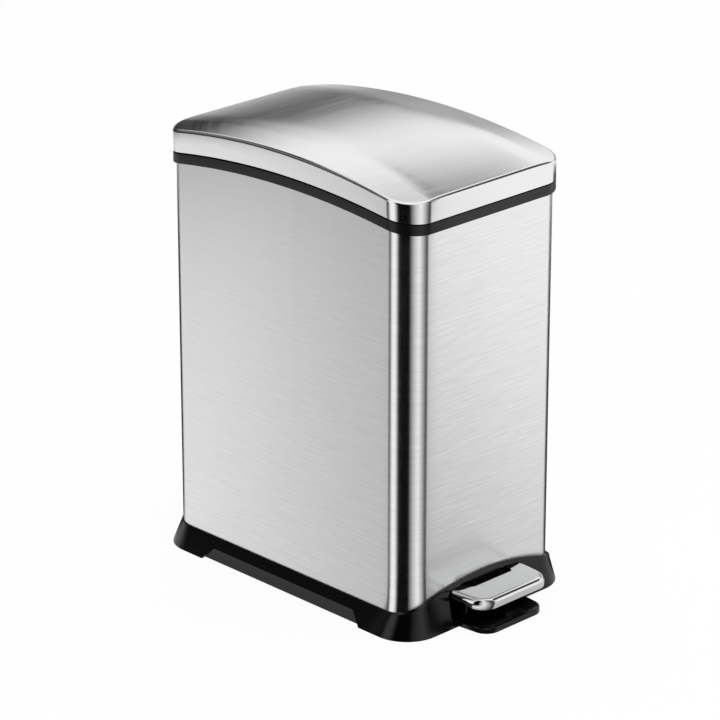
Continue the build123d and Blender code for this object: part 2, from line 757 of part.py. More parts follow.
# crank: goose-neck plate over the rim and down inside, slotted for the lift rod
foot_sheet = arched_wall(-6, None, liner_height - 2.1, liner_height - 4)
slot_mid = (crank_reach + crank_reach / math.cos(crank_tilt)) / 2
slot_long = crank_reach / math.cos(crank_tilt) - crank_reach + 2 * slot_half + 0.8
slot_place = (hinge_y - slot_mid * math.cos(crank_tilt), hinge_z - slot_mid * math.sin(crank_tilt))
with BuildPart() as crank_foot:
    with BuildSketch(plan_at(0, hinge_y - 28, rim_end)):
        Rectangle(crank_foot_width, crank_foot_depth)
    extrude(amount=40)
    add(foot_sheet, mode=Mode.INTERSECT)
with BuildPart() as lid_crank:
    with BuildSketch(side_plane):
        with BuildLine():
            Polyline((hinge_y - 22, hinge_z - 10), (hinge_y - 22, hinge_z + 6.2), (hinge_y - 16, hinge_z + 5),
                     (hinge_y, hinge_z + 3.5), (hinge_y, hinge_z - 0.8), (crank_back, hinge_z - 0.8),
                     (crank_back, hinge_z - 10), (hinge_y - 22, hinge_z - 10))
        make_face()
        with Locations((hinge_y, hinge_z)):
            Circle(ear_radius)
        with Locations(Location(slot_place, math.degrees(crank_tilt))):
            SlotOverall(slot_long + 2 * slot_wall, 2 * slot_half + 2 * slot_wall)
        with Locations((crank_back + 10, hinge_z - 12)):
            Rectangle(20, 22, mode=Mode.SUBTRACT)
        with Locations(Location(slot_place, math.degrees(crank_tilt))):
            SlotOverall(slot_long, 2 * slot_half, mode=Mode.SUBTRACT)
    extrude(amount=crank_half, both=True)
    add(crank_foot.part)
    with BuildSketch(side_plane):
        with Locations((hinge_y, hinge_z)):
            Circle(hinge_pin_radius + run_gap)
    extrude(amount=60, both=True, mode=Mode.SUBTRACT)
    with BuildSketch(body_plane.offset(rim_end)):
        with Locations(*foot_screw_spots):
            Circle(screw_radius)
    extrude(amount=40, mode=Mode.SUBTRACT)
lid_crank.part.label = "lid_crank"
export_step(lid_crank.part, "parts/lid_crank.step")

leaf_screws = [screw(x, y, rim_height(y) + liner_height - 2.7, 6) for x, y in leaf_screw_spots]
foot_screws = [screw(x, y, rim_height(y) + liner_height - 4.65, 8) for x, y in foot_screw_spots]
with BuildPart() as lid_screws:
    add(leaf_screws)
    add(foot_screws)
lid_screws.part.label = "lid_screws"
export_step(lid_screws.part, "parts/lid_screws.step")

# lift rod: one wire with a hook at each end
with BuildPart() as lift_rod:
    with BuildLine(Plane((0, body_y + rod_y, 0), x_dir=(1, 0, 0), z_dir=(0, -1, 0))) as wire:
        FilletPolyline((-hook_end, tail_z), (rod_x, tail_z), (rod_x, crank_z), (-hook_end, crank_z), radius=rod_bend)
    with BuildSketch(Plane(wire.line @ 0, z_dir=wire.line % 0)):
        Circle(rod_radius)
    sweep(path=wire.line)
lift_rod.part.label = "lift_rod"
export_step(lift_rod.part, "parts/lift_rod.step")

with BuildPart() as rod_clips:
    with BuildSketch(side_plane.offset(-hook_end + 0.8)):
        with Locations((rod_y, tail_z), (rod_y, crank_z)):
            Circle(4.4)
            Circle(rod_radius, mode=Mode.SUBTRACT)
    extrude(amount=1)
rod_clips.part.label = "rod_clips"
export_step(rod_clips.part, "parts/rod_clips.step")

# guides that hold the rod upright on the back wall
guide_back = half_depth - inner_face
guide_deep = guide_back - rod_y + guide_front
guide_mid = guide_back - guide_deep / 2
with BuildPart() as rod_guides:
    with BuildSketch(plan_at(rod_x, guide_mid, guide_low), plan_at(rod_x, guide_mid, guide_high)):
        RectangleRounded(guide_width, guide_deep, 2)
    extrude(amount=guide_tall)
    with BuildSketch(plan_at(rod_x, rod_y, 0)):
        Circle(rod_radius + run_gap)
    extrude(amount=400, mode=Mode.SUBTRACT)
rod_guides.part.label = "rod_guides"
export_step(rod_guides.part, "parts/rod_guides.step")

# closing damper round the rod
with BuildPart() as damper_cylinder:
    with BuildSketch(plan_at(rod_x, rod_y, damper_low)):
        Circle(damper_radius)
    extrude(amount=damper_tall)
    with BuildSketch(plan_at(rod_x, (rod_y + guide_back) / 2, damper_low + 20)):
        Rectangle(11, guide_back - rod_y)
    extrude(amount=30)
    with BuildSketch(plan_at(rod_x, rod_y, damper_low + 3)):
        Circle(damper_bore)
    extrude(amount=damper_tall - 6, mode=Mode.SUBTRACT)
    with BuildSketch(plan_at(rod_x, rod_y, 0)):
        Circle(rod_radius + run_gap)
    extrude(amount=400, mode=Mode.SUBTRACT)
damper_cylinder.part.label = "damper_cylinder"
export_step(damper_cylinder.part, "parts/damper_cylinder.step")

with BuildPart() as damper_piston:
    with BuildSketch(plan_at(rod_x, rod_y, piston_low)):
        Circle(damper_bore - run_gap)
        Circle(rod_radius, mode=Mode.SUBTRACT)
    extrude(amount=piston_tall)
damper_piston.part.label = "damper_piston"
export_step(damper_piston.part, "parts/damper_piston.step")

# lift-out bucket standing on the deck
bucket_low = deck_top + bucket_gap
bucket_mid = (bucket_rear - bucket_front) / 2
bucket_long = bucket_rear + bucket_front
with BuildPart() as inner_bucket:
    with BuildSketch(plan_at(0, bucket_mid, bucket_low)):
        RectangleRounded(2 * (bucket_half - bucket_draft), bucket_long - 2 * bucket_draft, bucket_round)
    with BuildSketch(plan_at(0, bucket_mid, bucket_top)):
        RectangleRounded(2 * bucket_half, bucket_long, bucket_round)
    loft()
    with BuildSketch(plan_at(0, bucket_mid, bucket_top - bucket_lip_thick)):
        RectangleRounded(2 * (bucket_half + bucket_lip), bucket_long + 2 * bucket_lip, bucket_round + bucket_lip)
    extrude(amount=bucket_lip_thick)
    with BuildSketch(plan_at(0, bucket_mid, bucket_low + bucket_floor)):
        RectangleRounded(2 * (bucket_half - bucket_draft - bucket_wall),
                         bucket_long - 2 * (bucket_draft + bucket_wall), bucket_round - bucket_wall)
    with BuildSketch(plan_at(0, bucket_mid, bucket_top)):
        RectangleRounded(2 * (bucket_half - bucket_wall), bucket_long - 2 * bucket_wall, bucket_round - bucket_wall)
    loft(mode=Mode.SUBTRACT)
    with BuildSketch(side_plane):
        with Locations((bucket_mid, bucket_top - grip_drop)):
            SlotOverall(grip_width, grip_height)
    extrude(amount=shell_width, both=True, mode=Mode.SUBTRACT)
inner_bucket.part.label = "inner_bucket"
export_step(inner_bucket.part, "parts/inner_bucket.step")
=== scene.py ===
import bpy
import bmesh
import math
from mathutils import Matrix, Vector


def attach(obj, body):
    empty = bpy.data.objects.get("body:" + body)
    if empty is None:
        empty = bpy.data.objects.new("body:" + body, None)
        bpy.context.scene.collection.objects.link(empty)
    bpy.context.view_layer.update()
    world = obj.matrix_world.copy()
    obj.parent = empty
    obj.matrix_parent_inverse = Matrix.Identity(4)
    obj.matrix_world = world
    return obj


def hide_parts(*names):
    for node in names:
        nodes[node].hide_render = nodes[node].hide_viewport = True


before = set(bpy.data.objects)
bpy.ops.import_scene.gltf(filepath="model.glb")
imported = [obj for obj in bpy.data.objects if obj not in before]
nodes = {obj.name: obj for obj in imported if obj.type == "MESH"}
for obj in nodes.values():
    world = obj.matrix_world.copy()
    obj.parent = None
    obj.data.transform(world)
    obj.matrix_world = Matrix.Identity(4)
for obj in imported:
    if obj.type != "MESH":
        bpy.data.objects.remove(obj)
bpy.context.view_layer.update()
mm = 0.001

# millimetres; the body's own middle lies a little behind the middle of the whole footprint
body = {"middleY": 15.75, "width": 188, "depth": 300, "radius": 24, "sheet": 0.7, "rimApex": 386, "rimCurve": 880,
        "rimForward": 10, "cornerCuts": 18, "sideCuts": 41, "endCuts": 13, "weld": 0.002}
print("frame loaded:", len(nodes), "nodes")


def hexColour(code):
    parts = [int(code[i:i + 2], 16) / 255 for i in (1, 3, 5)]
    return [c / 12.92 if c <= 0.04045 else ((c + 0.055) / 1.055) ** 2.4 for c in parts] + [1.0]


# adds a node: its inputs from sockets or values, a ramp's stops as (place, grey level or colour), then its settings
def addNode(tree, kind, inputs=None, stops=None, **settings):
    node = tree.nodes.new(kind)
    for key, value in settings.items():
        if hasattr(node, key):
            setattr(node, key, value)
        else:
            node.inputs[key.replace("_", " ")].default_value = value
    for key, value in (inputs or {}).items():
        if isinstance(value, bpy.types.NodeSocket):
            tree.links.new(value, node.inputs[key])
        else:
            node.inputs[key].default_value = value
    for number, (spot, level) in enumerate(stops or []):
        element = node.color_ramp.elements[number] if number < 2 else node.color_ramp.elements.new(1.0)
        element.position = spot
        element.color = level if isinstance(level, list) else (level, level, level, 1)
    return node


def newMaterial(name):
    material = bpy.data.materials.new(name)
    material.use_nodes = True
    tree = material.node_tree
    shader = tree.nodes["Principled BSDF"]
    place = addNode(tree, "ShaderNodeTexCoord")
    return material, tree, shader, place.outputs["Object"]


noiseLow, noiseHigh = 0.3, 0.7             # nearly all of a noise's values lie between these
cloudTones = ((0.35, 0.9), (0.65, 1.12))   # value of the noise, and the share of the base colour there


# brushed 430 stainless: level scratches that smear a reflection up and down but keep it sharp sideways
def brushedStainless(name, colour, roughness, streak, scratchSize, spread, waver=0.03):
    material, tree, shader, place = newMaterial(name)
    shader.inputs["Metallic"].default_value = 1.0
    shader.inputs["Anisotropic"].default_value = spread
    shader.inputs["Anisotropic Rotation"].default_value = 0.25   # a quarter turn, across the scratches
    level = addNode(tree, "ShaderNodeTangent", direction_type="RADIAL", axis="Z")
    tree.links.new(level.outputs[0], shader.inputs["Tangent"])
    stretch = addNode(tree, "ShaderNodeMapping", {"Vector": place}, Scale=[1 / (size * mm) for size in scratchSize])
    scratch = addNode(tree, "ShaderNodeTexNoise", {"Vector": stretch.outputs[0]}, Scale=1.0, Detail=3.0,
                      Roughness=0.7)
    base = hexColour(colour)[:3]
    tone = addNode(tree, "ShaderNodeValToRGB", {"Fac": scratch.outputs["Fac"]},
                   [(noiseLow, [c * (1 - streak) for c in base] + [1]),
                    (noiseHigh, [min(1, c * (1 + streak)) for c in base] + [1])])
    tree.links.new(tone.outputs[0], shader.inputs["Base Color"])
    rough = addNode(tree, "ShaderNodeMapRange", {"Value": scratch.outputs["Fac"]}, From_Min=noiseLow,
                    From_Max=noiseHigh, To_Min=roughness - waver, To_Max=roughness + waver)
    tree.links.new(rough.outputs[0], shader.inputs["Roughness"])
    return material


# polished chrome plate: nearly a mirror, faint haze in patches
def polishedChrome(name, colour, clear, hazed, patch):
    material, tree, shader, place = newMaterial(name)
    shader.inputs["Metallic"].default_value = 1.0
    shader.inputs["Base Color"].default_value = hexColour(colour)
    haze = addNode(tree, "ShaderNodeTexNoise", {"Vector": place}, Scale=1 / (patch * mm), Detail=2.0)
    rough = addNode(tree, "ShaderNodeMapRange", {"Value": haze.outputs["Fac"]}, From_Min=noiseLow,
                    From_Max=noiseHigh, To_Min=clear, To_Max=hazed)
    tree.links.new(rough.outputs[0], shader.inputs["Roughness"])
    return material


# moulded or coated black and grey: fine grain, faint clouds of tone, a soft sheen along the edges;
# grain and patch in millimetres, the grain drawn coarser than the real one so that it shows
def grainedSkin(name, colour, roughness, grain=0.6, gloss=0.5, patch=55.5556, waver=0.04):
    material, tree, shader, place = newMaterial(name)
    shader.inputs["IOR"].default_value = 1.5
    shader.inputs["Specular IOR Level"].default_value = gloss
    cloud = addNode(tree, "ShaderNodeTexNoise", {"Vector": place}, Scale=1 / (patch * mm), Detail=3.0)
    base = hexColour(colour)[:3]
    tone = addNode(tree, "ShaderNodeValToRGB", {"Fac": cloud.outputs["Fac"]},
                   [(spot, [min(1, c * part) for c in base] + [1]) for spot, part in cloudTones])
    tree.links.new(tone.outputs[0], shader.inputs["Base Color"])
    spark = addNode(tree, "ShaderNodeTexNoise", {"Vector": place}, Scale=1 / (grain * mm), Detail=1.0)
    rough = addNode(tree, "ShaderNodeMapRange", {"Value": spark.outputs["Fac"]}, From_Min=noiseLow,
                    From_Max=noiseHigh, To_Min=roughness - waver, To_Max=roughness + waver)
    tree.links.new(rough.outputs[0], shader.inputs["Roughness"])
    bump = addNode(tree, "ShaderNodeBump", {"Height": spark.outputs["Fac"]}, Strength=0.12, Distance=0.02 * mm)
    tree.links.new(bump.outputs[0], shader.inputs["Normal"])
    return material


# zinc plated steel: bluish grey, slightly mottled
def zincPlate(name, dark, light, smooth, dull, patch):
    material, tree, shader, place = newMaterial(name)
    shader.inputs["Metallic"].default_value = 1.0
    mottle = addNode(tree, "ShaderNodeTexNoise", {"Vector": place}, Scale=1 / (patch * mm), Detail=3.0)
    tone = addNode(tree, "ShaderNodeValToRGB", {"Fac": mottle.outputs["Fac"]},
                   [(0.0, hexColour(dark)), (1.0, hexColour(light))])
    tree.links.new(tone.outputs[0], shader.inputs["Base Color"])
    rough = addNode(tree, "ShaderNodeMapRange", {"Value": mottle.outputs["Fac"]}, To_Min=smooth, To_Max=dull)
    tree.links.new(rough.outputs[0], shader.inputs["Roughness"])
    return material


# sizes in millimetres; scratches run level, about 1 mm apart so that they show, finer on the real sheet
wrapSteel = brushedStainless("brushed stainless wrap", "#EFEFEF", roughness=0.22, streak=0.08,
                             scratchSize=(35.7143, 35.7143, 0.909091), spread=0.95)
lidSteel = brushedStainless("satin stainless lid", "#EFEFEF", roughness=0.16, streak=0.02,
                            scratchSize=(111.1111, 111.1111, 1.111111), spread=0.4)
chromePlate = polishedChrome("polished chrome plate", "#E6E7E8", clear=0.05, hazed=0.1, patch=16.6667)
blackPlastic = grainedSkin("moulded black polypropylene", "#060607", 0.16, gloss=0.4)   # deep black, glossy
rimPlastic = grainedSkin("moulded black ABS collar", "#09090A", 0.32, gloss=0.4)        # black, half matt
bucketPlastic = grainedSkin("moulded bucket polypropylene", "#2B2C2E", 0.5)             # dark grey, matt
greyPlastic = grainedSkin("grey acetal guides", "#6E7072", 0.45)                        # mid grey, waxy
blackRubber = grainedSkin("black rubber", "#141414", 0.75, 0.4)                         # dull black
blackPaint = grainedSkin("satin black paint on steel", "#161617", 0.35, 0.3)            # black, satin
plate = zincPlate("zinc plated steel", "#A9ACAE", "#C9CBCB", smooth=0.28, dull=0.42, patch=4.54545)
print("materials made")

finishes = {"outer_shell": wrapSteel, "lid_shell": lidSteel, "top_rim": rimPlastic, "base": blackPlastic,
            "foot_plate": blackPlastic, "bottom_cover": blackPlastic, "hinge_housing": blackPlastic,
            "lid_liner": rimPlastic, "inner_bucket": bucketPlastic, "pedal_cap": chromePlate, "pedal_arm": blackPaint,
            "rod_guides": greyPlastic, "damper_cylinder": greyPlastic, "damper_piston": greyPlastic,
            "rubber_feet": blackRubber, "lid_bumpers": blackRubber}
for name, node in nodes.items():
    node.data.materials.clear()
    node.data.materials.append(finishes.get(name, plate))


def arched(top, curve, y):
    return top - curve + math.sqrt(curve ** 2 - y ** 2)


def rimHeight(y):
    return arched(body["rimApex"], body["rimCurve"], y + body["rimForward"])


# one closed loop of the body's plan, grown or drawn in, its height set point by point
def planLoop(bm, grow, heightAt):
    wide, deep, radius = body["width"] + 2 * grow, body["depth"] + 2 * grow, body["radius"] + grow
    known = set(bm.edges)
    corners = bmesh.ops.create_grid(bm, x_segments=1, y_segments=1, size=0.5)["verts"]
    bmesh.ops.scale(bm, vec=(wide, deep, 1), verts=corners)
    bmesh.ops.bevel(bm, geom=corners, offset=radius, offset_type="OFFSET", affect="VERTICES", profile=0.5,
                    segments=body["cornerCuts"], material=-1, clamp_overlap=False)
    edges = [e for e in bm.edges if e not in known]
    bmesh.ops.delete(bm, geom=list({f for e in edges for f in e.link_faces}), context="FACES_ONLY")
    sides = [e for e in edges if e.calc_length() > body["width"]]
    ends = [e for e in edges if body["width"] / 2 < e.calc_length() < body["width"]]
    bmesh.ops.subdivide_edges(bm, edges=sides, cuts=body["sideCuts"])
    bmesh.ops.subdivide_edges(bm, edges=ends, cuts=body["endCuts"])
    edges = [e for e in bm.edges if e not in known]
    for vert in {v for e in edges for v in e.verts}:
        vert.co.z = heightAt(vert.co.x, vert.co.y)
    return edges


# joins loops one after another; closed joins the last to the first
def loopSkin(bm, loops, closed=False):
    pairs = list(zip(loops, loops[1:])) + ([(loops[-1], loops[0])] if closed else [])
    for one, two in pairs:
        bmesh.ops.bridge_loops(bm, edges=one + two)


def meshPiece(bm, name, material):
    mesh = bpy.data.meshes.new(name)
    bm.to_mesh(mesh)
    bm.free()
    mesh.materials.append(material)
    piece = bpy.data.objects.new(name, mesh)
    bpy.context.scene.collection.objects.link(piece)
    return piece


def smoothFaces(mesh, sharp):
    for face in mesh.polygons:
        face.use_smooth = True
    mesh.set_sharp_from_angle(angle=math.radians(sharp))


# from millimetres about the body's middle to a finished piece on its body
def finishPiece(bm, name, rider, replaced, material, sharp=35, thickness=0):
    bmesh.ops.remove_doubles(bm, verts=bm.verts, dist=body["weld"])
    bmesh.ops.recalc_face_normals(bm, faces=bm.faces)
    bmesh.ops.scale(bm, vec=(mm, mm, mm), verts=bm.verts)
    bmesh.ops.translate(bm, vec=(0, body["middleY"] * mm, 0), verts=bm.verts)
    piece = meshPiece(bm, name, material)
    smoothFaces(piece.data, sharp)
    if thickness:
        wall = piece.modifiers.new("sheet", "SOLIDIFY")
        wall.thickness, wall.offset, wall.use_even_offset = thickness * mm, -1, True
    flat = piece.modifiers.new("flat", "WEIGHTED_NORMAL")   # large faces stay flat beside small rounds
    flat.keep_sharp, flat.weight = True, 100
    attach(piece, rider)
    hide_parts(replaced)


# steel wrap: its foot sits in the base and rises over the pedal in front
wrap = {"seat": 14, "archDrop": 2.2, "archSide": 22, "archTop": 40.8, "archHalf": 95.2, "topDrop": 4.35,
        "slack": 0.01}
archRise = wrap["archTop"] - wrap["archSide"]
archCurve = (wrap["archHalf"] ** 2 + archRise ** 2) / (2 * archRise)
frontStart = -(body["depth"] / 2 - body["radius"]) - wrap["slack"]   # where the long sides end in front


def wrapFoot(x, y):
    if y < frontStart:
        return arched(wrap["archTop"], archCurve, min(abs(x), wrap["archHalf"])) - wrap["archDrop"]
    return wrap["seat"]


bm = bmesh.new()
loopSkin(bm, [planLoop(bm, 0, wrapFoot), planLoop(bm, 0, lambda x, y: rimHeight(y) - wrap["topDrop"])])
finishPiece(bm, "steelWrap", "bin", "outer_shell", wrapSteel, thickness=body["sheet"])
print("wrap made")

# rim collar: points of its section, out from the wrap and up from the rim line
collar = {"section": [(0.15, -9.3), (2.3, -9.3), (2.65, -9.15), (2.8, -8.8), (2.8, -0.6), (2.6, -0.15), (2.2, 0),
                      (-2.5, 0), (-2.9, -0.15), (-3.05, -0.55), (-3.05, -24), (-0.85, -24), (-0.85, -4.2),
                      (0.15, -4.2)]}
bm = bmesh.new()
loops = [planLoop(bm, out, lambda x, y, up=up: rimHeight(y) + up) for out, up in collar["section"]]
loopSkin(bm, loops, closed=True)
finishPiece(bm, "rimCollar", "bin", "top_rim", rimPlastic)
print("collar made")

# lid skin: barrel top, sloped flanks, rounded crease, a notch behind for the hinge
lid = {"proud": 2.8, "gap": 1.1, "top": 412.6, "curve": 690, "sideEdge": 407.4, "sideCurve": 750, "slope": 0.13,
       "crease": 2.5, "creaseCuts": 6, "hipSoft": 0.8, "notchHalf": 38, "notchTop": 383.43, "roofSnap": 0.01,
       "notchSnap": 0.001}


def lidRoof(x, y):
    barrel = arched(lid["top"], lid["curve"], y)
    inward = body["width"] / 2 + lid["proud"] - abs(x)
    flank = arched(lid["sideEdge"], lid["sideCurve"], y) + lid["slope"] * inward
    gap = barrel - flank
    return (barrel + flank - math.sqrt(gap * gap + lid["hipSoft"] ** 2)) / 2   # soft hip between the two


def creaseHeight(turn):
    return lambda x, y: lidRoof(x, y) - lid["crease"] * (1 - math.sin(turn))


bm = bmesh.new()
turns = [math.radians(90 * i / lid["creaseCuts"]) for i in range(lid["creaseCuts"] + 1)]
loops = [planLoop(bm, lid["proud"], lambda x, y: rimHeight(y) + lid["gap"])]
loops += [planLoop(bm, lid["proud"] - lid["crease"] * (1 - math.cos(t)), creaseHeight(t)) for t in turns]
loopSkin(bm, loops)
rim = {v for e in loops[-1] for v in e.verts}
levels = sorted({round(v.co.y, 3) for v in rim})
columns = sorted({round(v.co.x, 3) for v in rim})
cap = bmesh.ops.contextual_create(bm, geom=loops[-1])["faces"]
patch = cap + list(rim) + loops[-1]
for cut, across in ((levels, (0, 1, 0)), (columns, (1, 0, 0))):
    for value in cut:
        patch = bmesh.ops.bisect_plane(bm, geom=patch, dist=lid["roofSnap"], plane_co=Vector(across) * value,
                                       plane_no=across)["geom"]
for vert in [g for g in patch if isinstance(g, bmesh.types.BMVert)]:
    vert.co.z = lidRoof(vert.co.x, vert.co.y)
backWall = body["depth"] / 2
back = [f for f in bm.faces if f.calc_center_median().y > backWall]
back += list({e for f in back for e in f.edges}) + list({v for f in back for v in f.verts})
for where, across in (((lid["notchHalf"], 0, 0), (1, 0, 0)), ((-lid["notchHalf"], 0, 0), (1, 0, 0)),
                      ((0, 0, lid["notchTop"]), (0, 0, 1))):
    back = bmesh.ops.bisect_plane(bm, geom=back, dist=lid["notchSnap"], plane_co=where, plane_no=across)["geom"]
middles = [(f, f.calc_center_median()) for f in bm.faces]
notch = [f for f, c in middles if c.y > backWall and abs(c.x) < lid["notchHalf"] and c.z < lid["notchTop"]]
bmesh.ops.delete(bm, geom=notch, context="FACES")
finishPiece(bm, "lidSkin", "lid", "lid_shell", lidSteel, sharp=30, thickness=body["sheet"])
print("lid made")

# pedal tread: U-shaped pressing, rolled over in front and outside, square at the notch and behind
pedal = {"top": 34, "deep": 9, "back": -153.4, "front": -191.5, "rootHalf": 45, "tipHalf": 41.5, "notchHalf": 25.5,
         "notchY": -162, "corner": 14, "notchCorner": 4, "edge": 5, "cuts": 8, "sheet": 1.2, "slack": 0.1}


def rolledEdge(spot):
    front = spot.y < pedal["notchY"] - 2 * pedal["notchCorner"]
    outer = abs(spot.x) > pedal["notchHalf"] + pedal["slack"] and spot.y < pedal["back"] - pedal["slack"]
    return spot.z > pedal["top"] - pedal["slack"] and (front or outer)


bm = bmesh.new()
side = [(pedal["notchHalf"], pedal["notchY"]), (pedal["notchHalf"], pedal["back"]),
        (pedal["rootHalf"], pedal["back"]), (pedal["tipHalf"], pedal["front"])]
plan = [(-x, y) for x, y in side] + side[::-1]
bm.faces.new([bm.verts.new((x, y, pedal["top"])) for x, y in plan])
for x, y, radius in ((pedal["tipHalf"], pedal["front"], pedal["corner"]),
                     (pedal["notchHalf"], pedal["notchY"], pedal["notchCorner"])):
    turned = [v for v in bm.verts if abs(abs(v.co.x) - x) < pedal["slack"] and abs(v.co.y - y) < pedal["slack"]]
    bmesh.ops.bevel(bm, geom=turned, offset=radius, offset_type="OFFSET", affect="VERTICES", profile=0.5,
                    segments=pedal["cuts"], material=-1, clamp_overlap=False)
skirt = bmesh.ops.extrude_edge_only(bm, edges=list(bm.edges))["geom"]
bmesh.ops.translate(bm, vec=(0, 0, -pedal["deep"]), verts=[g for g in skirt if isinstance(g, bmesh.types.BMVert)])
bmesh.ops.recalc_face_normals(bm, faces=bm.faces)
brink = [e for e in bm.edges if len(e.link_faces) == 2 and rolledEdge((e.verts[0].co + e.verts[1].co) / 2)]
bmesh.ops.bevel(bm, geom=brink, offset=pedal["edge"], offset_type="OFFSET", affect="EDGES", profile=0.5,
                segments=pedal["cuts"], material=-1, clamp_overlap=False)
finishPiece(bm, "pedalTread", "pedal", "pedal_cap", chromePlate, thickness=pedal["sheet"])
print("pedal made")

# moulded and pressed pieces keep their solids' shape and get rounded edges
rounds = {"weld": 0.01, "flatAngle": 1, "sharpAngle": 30, "edgeAngle": 35, "cuts": 2}


def softEdges(name, rider, width):
    node = nodes[name]
    bm = bmesh.new()
    bm.from_mesh(node.data)
    bmesh.ops.remove_doubles(bm, verts=bm.verts, dist=rounds["weld"] * mm)
    bmesh.ops.dissolve_limit(bm, angle_limit=math.radians(rounds["flatAngle"]), verts=bm.verts, edges=bm.edges)
    piece = meshPiece(bm, name + ".soft", node.data.materials[0])
    smoothFaces(piece.data, rounds["sharpAngle"])
    edge = piece.modifiers.new("edge", "BEVEL")
    edge.width, edge.segments, edge.limit_method = width * mm, rounds["cuts"], "ANGLE"
    edge.angle_limit, edge.harden_normals = math.radians(rounds["edgeAngle"]), True
    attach(piece, rider)
    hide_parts(name)


softEdges("base", "bin", 0.7)
softEdges("foot_plate", "bin", 0.5)
softEdges("hinge_housing", "bin", 0.6)
softEdges("pedal_arm", "pedal", 0.5)
softEdges("inner_bucket", "bucket", 0.5)
print("edges softened")

# camera at the photograph's place; focal length in pixels, target in millimetres
view = {"azimuth": -44.455, "elevation": 21.4915, "distance": 3.15237, "focal": 3586.23, "pixels": 720, "sensor": 36,
        "farEnd": 50, "target": (-3.96, 14.425, 193.477)}
a, e = math.radians(view["azimuth"]), math.radians(view["elevation"])
towards = Vector((math.sin(a) * math.cos(e), -math.cos(a) * math.cos(e), math.sin(e)))
eye = bpy.data.objects.new("eye", bpy.data.cameras.new("eye"))
bpy.context.scene.collection.objects.link(eye)
eye.data.sensor_width = view["sensor"]
eye.data.lens = view["sensor"] * view["focal"] / view["pixels"]
eye.data.clip_end = view["farEnd"]
eye.location = Vector(view["target"]) * mm + towards * view["distance"]
eye.rotation_euler = towards.to_track_quat("Z", "Y").to_euler()
bpy.context.scene.camera = eye
print("camera set")

# studio: white paper sweep and plain light
bpy.context.scene.view_settings.view_transform = "Standard"
studio = {"sweep": 6.0, "ambient": 0.55, "floorWhite": 0.95, "paper": "#F4F4F4", "paperRough": 0.9}


# 1 for what the camera sees, straight, mirrored or through
def seenRay(tree):
    ray = addNode(tree, "ShaderNodeLightPath")
    mirrored = addNode(tree, "ShaderNodeMath", {0: ray.outputs["Is Camera Ray"], 1: ray.outputs["Is Glossy Ray"]},
                       operation="MAXIMUM")
    through = addNode(tree, "ShaderNodeMath", {0: mirrored.outputs[0], 1: ray.outputs["Is Transmission Ray"]},
                      operation="MAXIMUM")
    return through.outputs[0]


world = bpy.data.worlds.new("studio")
bpy.context.scene.world = world
world.use_nodes = True
tree = world.node_tree
tree.nodes.clear()
white = addNode(tree, "ShaderNodeBackground", Strength=1.0, Color=(1, 1, 1, 1))
soft = addNode(tree, "ShaderNodeBackground", Strength=studio["ambient"], Color=(1, 1, 1, 1))
mix = addNode(tree, "ShaderNodeMixShader", {0: seenRay(tree), 1: soft.outputs[0], 2: white.outputs[0]})
addNode(tree, "ShaderNodeOutputWorld", {"Surface": mix.outputs[0]})

floorMaterial = bpy.data.materials.new("white paper sweep")
floorMaterial.use_nodes = True
tree = floorMaterial.node_tree
paper = tree.nodes["Principled BSDF"]
paper.inputs["Base Color"].default_value = hexColour(studio["paper"])
paper.inputs["Roughness"].default_value = studio["paperRough"]
glow = addNode(tree, "ShaderNodeEmission", Strength=1.0, Color=(1, 1, 1, 1))
share = addNode(tree, "ShaderNodeMath", {0: seenRay(tree), 1: studio["floorWhite"]}, operation="MULTIPLY")
mix = addNode(tree, "ShaderNodeMixShader", {0: share.outputs[0], 1: paper.outputs[0], 2: glow.outputs[0]})
tree.links.new(mix.outputs[0], tree.nodes["Material Output"].inputs["Surface"])
bm = bmesh.new()
bmesh.ops.create_grid(bm, x_segments=1, y_segments=1, size=studio["sweep"])
floor = meshPiece(bm, "floor", floorMaterial)

